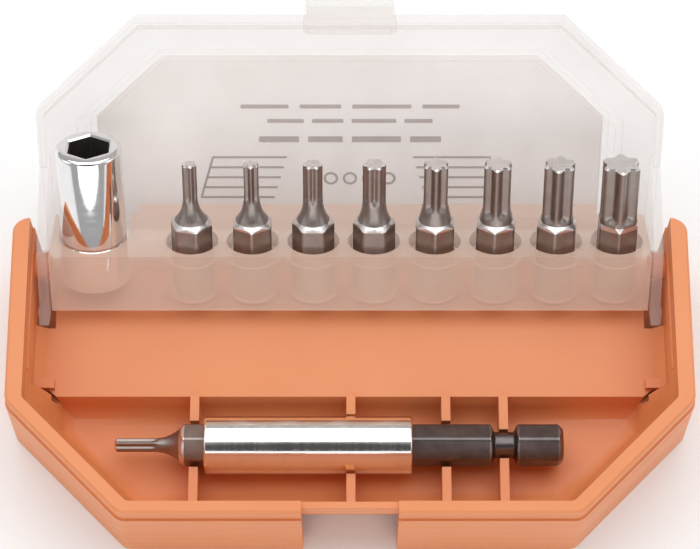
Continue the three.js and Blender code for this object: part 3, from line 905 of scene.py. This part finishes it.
# ------------------------------------------------------------------ bits
@dataclass
class StarBit:
    """A 1/4 inch six-lobe insert bit, hex end first."""

    size: int
    turn: float
    flats: float = 6.35 * MM
    corner_ease: float = 0.10 * MM
    hex_length: float = 14.2 * MM
    foot_ease: float = 0.5 * MM
    shoulder: float = 0.9 * MM
    flare_length: float = 4.6 * MM
    flare_power: float = 2.6
    flute_share: float = 0.28
    flute_run: float = 1.6 * MM
    short_flutes: float = 7.6 * MM
    tip_ease: float = 0.32 * MM

    def rings(self, length: float, tip: float) -> list[Ring]:
        """Rings from the hex end to the star end.

        Args:
            length: Length of the bit.
            tip: Radius over the lobes.

        Returns:
            The rings, with finish 1 on the ground bands.
        """
        hexagon = hex_rule(self.flats, self.corner_ease)
        corner = self.flats / 2 / math.cos(SIXTH / 2)
        rings = [Ring(z, least(hexagon, round_rule(corner - self.foot_ease + z))) for z in
                 (0.0, self.foot_ease / 3, self.foot_ease * 2 / 3, self.foot_ease)]
        start = self.hex_length - self.shoulder
        rings.append(Ring(start, hexagon))
        steps = 8
        waist = max(tip, corner - self.shoulder)
        for k in range(1, steps + 1):
            share = k / steps
            cone = corner - (corner - waist) * share
            rings.append(Ring(start + self.shoulder * share, least(hexagon, round_rule(cone)), 1))
        flutes = max(self.hex_length, min(length - self.short_flutes, length - 4 * tip))
        run_end = self.hex_length + self.flare_length
        levels = [self.hex_length + self.flare_length * k / 10 for k in range(1, 11)]
        fade = [flutes + self.flute_run * k / 6 for k in range(7)]
        for z in sorted(levels + fade):
            share = min(1.0, (z - self.hex_length) / (run_end - self.hex_length))
            body = tip + (waist - tip) * (1 - share) ** self.flare_power
            depth = self.flute_share * tip * smooth_step((z - flutes) / self.flute_run)
            rings.append(Ring(z, least(hexagon, star_rule(body, depth))))
        full = star_rule(tip, self.flute_share * tip)
        rings.append(Ring(length - self.tip_ease, full))
        small = tip - self.tip_ease
        rings.append(Ring(length, star_rule(small, self.flute_share * small), 1))
        return rings

    def place(self, finishes: Finishes, along: Vector, body: str) -> None:
        """Builds the bit in place of its frame node.

        Args:
            finishes: The set's finishes.
            along: Direction from its hex end to its star end.
            body: The body that it rides on.
        """
        node = f"star_bit_{self.size:02d}"
        axis = Axis.of_node(node, along)
        rings = self.rings(axis.length, STAR_DIAMETERS[self.size] / 2)
        solid = RingSolid(f"bit_{self.size:02d}_steel", rings)
        settle(solid.build([finishes.phosphate, finishes.ground], self.turn), axis, body, Slot.BIT, node)


# Point-to-point diameters of the six-lobe sizes.
STAR_DIAMETERS: dict[int, float] = {
    8: 2.31 * MM, 9: 2.50 * MM, 10: 2.74 * MM, 15: 3.27 * MM, 20: 3.86 * MM,
    25: 4.43 * MM, 27: 4.99 * MM, 30: 5.52 * MM, 40: 6.65 * MM,
}


@dataclass
class RackBits:
    """The row of bits in the rack; each has turned a little in its round socket."""

    turns: dict[int, float] = field(default_factory=lambda: {
        9: 47, 10: 30, 15: 0, 20: 0, 25: 30, 27: 24, 30: 21, 40: 30})

    def build(self, finishes: Finishes) -> None:
        """Builds every bit of the row.

        Args:
            finishes: The set's finishes.
        """
        for size, degrees in self.turns.items():
            body = f"bit_{size:02d}"
            StarBit(size, math.radians(degrees)).place(finishes, joint_axis(f"{body}_pull"), body)


# ------------------------------------------------------------------ adapter
@dataclass
class Adapter:
    """Chromed sleeve with a square socket at its foot and a hex pocket at its head."""

    pocket_flats: float = 6.6 * MM
    pocket_turn: float = SIXTH / 2
    pocket_depth: float = 12.4 * MM
    socket_side: float = 6.45 * MM
    socket_depth: float = 9.2 * MM
    edge: float = 0.8 * MM
    chamfer: float = 0.28 * MM
    groove_height: float = 7.4 * MM
    groove_depth: float = 0.16 * MM
    seat_radius: float = 2.6 * MM
    seat_depth: float = 2.1 * MM

    def rings(self, length: float, radius: float) -> list[Ring]:
        """Rings from the bottom of the square socket, round the outside, to the seat of the magnet.

        Args:
            length: Length of the sleeve.
            radius: Its outer radius.

        Returns:
            The rings; finish 1 is the dull bore.
        """
        square = square_rule(self.socket_side)
        rings = [Ring(self.socket_depth, square, 1), Ring(0.5 * MM, square, 1),
                 Ring(0.0, square_rule(self.socket_side + MM))]
        steps = 5
        for k in range(steps + 1):
            angle = k * FULL_TURN / 4 / steps
            rings.append(Ring(self.edge * (1 - math.cos(angle)),
                              round_rule(radius - self.edge * (1 - math.sin(angle)))))
        low, high = self.groove_height, self.groove_height + 4 * self.groove_depth
        for z, r in ((low, radius), (low + self.groove_depth, radius - self.groove_depth),
                     (high - self.groove_depth, radius - self.groove_depth), (high, radius)):
            rings.append(Ring(z, round_rule(r)))
        for k in range(steps + 1):
            angle = k * FULL_TURN / 4 / steps
            rings.append(Ring(length - self.edge * (1 - math.sin(angle)),
                              round_rule(radius - self.edge * (1 - math.cos(angle)))))
        mouth = turned_rule(hex_rule(self.pocket_flats + 2 * self.chamfer), self.pocket_turn)
        pocket = turned_rule(hex_rule(self.pocket_flats), self.pocket_turn)
        floor = length - self.pocket_depth
        rings += [Ring(length, mouth), Ring(length - self.chamfer, pocket), Ring(floor, pocket, 1),
                  Ring(floor, round_rule(self.seat_radius), 1),
                  Ring(floor - self.seat_depth, round_rule(self.seat_radius), 1)]
        return rings

    def build(self, finishes: Finishes) -> None:
        """Builds the adapter in place of its frame node and finishes what is inside it.

        Args:
            finishes: The set's finishes.
        """
        axis = Axis.of_node("adapter_body", joint_axis("adapter_pull"))
        low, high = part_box("adapter_body")
        solid = RingSolid("adapter_sleeve", self.rings(axis.length, (high.x - low.x) / 2))
        piece = solid.build([finishes.chrome, finishes.chrome_bore])
        settle(piece, axis, "adapter", Slot.CHROME, "adapter_body")
        MouldedNode("adapter_magnet", 0.2 * MM).dress(finishes.magnet, finishes.magnet, Slot.MAGNET)
        MouldedNode("adapter_clip_ring", 0.08 * MM).dress(finishes.spring, finishes.spring, Slot.SPRING)


# ------------------------------------------------------------------ holder
@dataclass
class BitHolder:
    """Magnetic bit holder: a polished sleeve on a blackened hex shank, with its bit."""

    flats: float = 6.35 * MM
    pocket_flats: float = 6.95 * MM
    pocket_depth: float = 10.3 * MM
    bore_radius: float = 3.97 * MM
    bore_depth: float = 14.3 * MM
    sleeve_edge: float = 0.42 * MM
    corner_ease: float = 0.12 * MM
    end_ease: float = 0.9 * MM
    groove_from_end: float = 7.3 * MM
    groove_length: float = 5.0 * MM
    neck_radius: float = 2.18 * MM
    bit_turn: float = 0.0

    def sleeve_rings(self, length: float, radius: float) -> list[Ring]:
        """Rings from the bottom of the hex pocket, over the outside, to the bottom of the rear bore.

        Args:
            length: Length of the sleeve.
            radius: Its outer radius.

        Returns:
            The rings; finish 1 is the dull bore.
        """
        pocket = hex_rule(self.pocket_flats)
        rings = [Ring(self.pocket_depth, pocket, 1), Ring(self.sleeve_edge, pocket, 1),
                 Ring(0.0, hex_rule(self.pocket_flats + self.sleeve_edge))]
        steps = 4
        for k in range(steps + 1):
            angle = k * FULL_TURN / 4 / steps
            rings.append(Ring(self.sleeve_edge * (1 - math.cos(angle)),
                              round_rule(radius - self.sleeve_edge * (1 - math.sin(angle)))))
        for k in range(steps + 1):
            angle = k * FULL_TURN / 4 / steps
            rings.append(Ring(length - self.sleeve_edge * (1 - math.sin(angle)),
                              round_rule(radius - self.sleeve_edge * (1 - math.cos(angle)))))
        rings += [Ring(length, round_rule(self.bore_radius)),
                  Ring(length - self.bore_depth, round_rule(self.bore_radius), 1)]
        return rings

    def shank_rings(self, length: float) -> list[Ring]:
        """Rings of the hex shank, from inside the sleeve to its free end.

        Args:
            length: Length of the shank.

        Returns:
            The rings; finish 1 is rubbed oxide on the edges.
        """
        hexagon = hex_rule(self.flats, self.corner_ease)
        corner = self.flats / 2 / math.cos(SIXTH / 2)
        top = length - self.groove_from_end
        low = top - self.groove_length
        ramp = (corner - self.neck_radius) * 0.7
        rings = [Ring(0.0, least(hexagon, round_rule(corner - self.end_ease / 2))),
                 Ring(self.end_ease / 2, hexagon), Ring(low, hexagon)]
        steps = 8
        for k in range(1, steps + 1):
            share = k / steps
            radius = self.neck_radius + (corner - self.neck_radius) * (1 - smooth_step(share))
            rings.append(Ring(low + ramp * share, least(hexagon, round_rule(radius)), 1 if k < 4 else 0))
        for k in range(steps + 1):
            share = k / steps
            radius = self.neck_radius + (corner - self.neck_radius) * smooth_step(share)
            level = top - ramp * (1 - share)
            rings.append(Ring(level, least(hexagon, round_rule(radius)), 1 if k > 5 else 0))
        for k in range(6):
            share = k / 5
            radius = corner - self.end_ease * share
            level = length - self.end_ease * (1 - share)
            rings.append(Ring(level, least(hexagon, round_rule(radius)), min(k, 1)))
        return rings

    def build(self, finishes: Finishes) -> None:
        """Builds the holder and its bit in place of their frame nodes.

        Args:
            finishes: The set's finishes.
        """
        along = Vector((1, 0, 0))
        low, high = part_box("holder_sleeve")
        axis = Axis.of_node("holder_sleeve", along)
        sleeve = RingSolid("holder_polished_sleeve", self.sleeve_rings(axis.length, (high.z - low.z) / 2))
        piece = sleeve.build([finishes.polished, finishes.chrome_bore])
        settle(piece, axis, "holder", Slot.POLISHED, "holder_sleeve")
        axis = Axis.of_node("holder_shank", along)
        shank = RingSolid("holder_hex_shank", self.shank_rings(axis.length))
        settle(shank.build([finishes.black, finishes.black_edge]), axis, "holder", Slot.BLACK, "holder_shank")
        MouldedNode("holder_magnet", 0.2 * MM).dress(finishes.magnet, finishes.magnet, Slot.MAGNET)
        MouldedNode("holder_clip_ring", 0.08 * MM).dress(finishes.spring, finishes.spring, Slot.SPRING)
        StarBit(8, self.bit_turn).place(finishes, -along, "holder")


# ------------------------------------------------------------------ studio
@dataclass
class Softbox:
    """A rectangular lamp that hangs round the set and faces it."""

    name: str
    azimuth: float
    tilt: float
    distance: float
    width: float
    depth: float
    radiance: float

    def hang(self, centre: Vector) -> None:
        """Makes the lamp.

        Args:
            centre: The point that it faces.
        """
        data = bpy.data.lights.new(self.name, "AREA")
        data.shape = "RECTANGLE"
        data.size = self.width
        data.size_y = self.depth
        data.energy = self.radiance * math.pi * self.width * self.depth
        lamp = bpy.data.objects.new(self.name, data)
        bpy.context.scene.collection.objects.link(lamp)
        turn, lean = math.radians(self.azimuth), math.radians(self.tilt)
        away = Vector((math.sin(turn) * math.sin(lean), math.cos(turn) * math.sin(lean), math.cos(lean)))
        lamp.location = centre + away * self.distance
        lamp.rotation_euler = away.to_track_quat("Z", "Y").to_euler()


@dataclass
class Studio:
    """Pale floor, soft lamps and the camera."""

    elevation: float = 69.5
    distance: float = 0.41006
    aim_back: float = 0.0007
    lens: float = 127.3
    sensor: float = 36.0
    floor_size: float = 6.0
    floor_drop: float = 0.05 * MM
    floor_colour: Colour = (0.93, 0.93, 0.93)
    floor_fade: float = 0.995
    floor_clouds_per_metre: float = 6.0
    sky: float = 0.42
    dim_sky: float = 0.08
    dim_lean: float = 30.0
    dim_reach: tuple[float, float] = (0.86, 0.965)

    def floor(self) -> None:
        """Lays the floor just under the set."""
        mesh = bmesh.new()
        bmesh.ops.create_grid(mesh, x_segments=4, y_segments=4, size=self.floor_size / 2)
        graph = ShaderGraph("pale_floor")
        clouds = graph.ramp(graph.noise(self.floor_clouds_per_metre), 0.0, 1.0)
        faded = tuple(part * self.floor_fade for part in self.floor_colour)
        graph.shade(
            Base_Color=graph.blend(clouds, self.floor_colour, faded),
            Roughness=0.9, Specular_IOR_Level=0.1)
        made = finished_object("studio_floor", mesh, [graph.material], math.radians(30))
        made.location.z = CAD_BOX[0].z - self.floor_drop

    def lamps(self, centre: Vector) -> None:
        """Hangs the lamps and sets the sky.

        Args:
            centre: The point that the lamps face.
        """
        world = bpy.data.worlds.new("studio_sky")
        bpy.context.scene.world = world
        world.use_nodes = True
        tree = world.node_tree
        background = tree.nodes["Background"]
        background.inputs[0].default_value = (1.0, 1.0, 1.0, 1.0)
        lean = math.radians(self.dim_lean)
        towards = tree.nodes.new("ShaderNodeTexCoord")
        match = tree.nodes.new("ShaderNodeVectorMath")
        match.operation = "DOT_PRODUCT"
        match.inputs[1].default_value = (0.0, -math.sin(lean), math.cos(lean))
        level = tree.nodes.new("ShaderNodeMapRange")
        level.interpolation_type = "SMOOTHSTEP"
        level.inputs["From Min"].default_value = self.dim_reach[0]
        level.inputs["From Max"].default_value = self.dim_reach[1]
        level.inputs["To Min"].default_value = self.sky
        level.inputs["To Max"].default_value = self.dim_sky
        tree.links.new(towards.outputs["Generated"], match.inputs[0])
        tree.links.new(match.outputs["Value"], level.inputs["Value"])
        tree.links.new(level.outputs[0], background.inputs[1])
        for lamp in (
            Softbox("overhead_softbox", 0, 25, 0.95, 1.5, 1.05, 1.75),
            Softbox("front_softbox", 180, 62, 1.0, 1.3, 0.7, 1.5),
            Softbox("left_softbox", -90, 68, 0.9, 0.5, 0.5, 0.9),
            Softbox("right_softbox", 90, 68, 0.9, 0.5, 0.5, 0.9),
        ):
            lamp.hang(centre)

    def camera(self) -> None:
        """Sets up the camera over the front of the set."""
        low, high = CAD_BOX
        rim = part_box("case_base")[1].z
        aim = Vector(((low.x + high.x) / 2, (low.y + high.y) / 2 + self.aim_back, rim))
        rise = math.radians(self.elevation)
        away = Vector((0.0, -math.cos(rise), math.sin(rise)))
        data = bpy.data.cameras.new("studio_camera")
        data.lens = self.lens
        data.sensor_width = self.sensor
        data.clip_start = 0.01
        made = bpy.data.objects.new("studio_camera", data)
        bpy.context.scene.collection.objects.link(made)
        made.location = aim + away * self.distance
        made.rotation_euler = away.to_track_quat("Z", "Y").to_euler()
        bpy.context.scene.camera = made

    def build(self) -> None:
        """Builds the floor, the lamps and the camera."""
        low, high = CAD_BOX
        self.floor()
        self.lamps((low + high) / 2)
        self.camera()
        bpy.context.scene.view_settings.view_transform = "Standard"


def main() -> None:
    """Builds the set's looks in order."""
    logging.basicConfig(level=logging.INFO, format="%(message)s")
    finishes = Finishes()
    CaseBase().dress(finishes)
    Cover().dress(finishes)
    RackBits().build(finishes)
    Adapter().build(finishes)
    BitHolder().build(finishes)
    Studio().build()


if __name__ == "__main__":
    main()
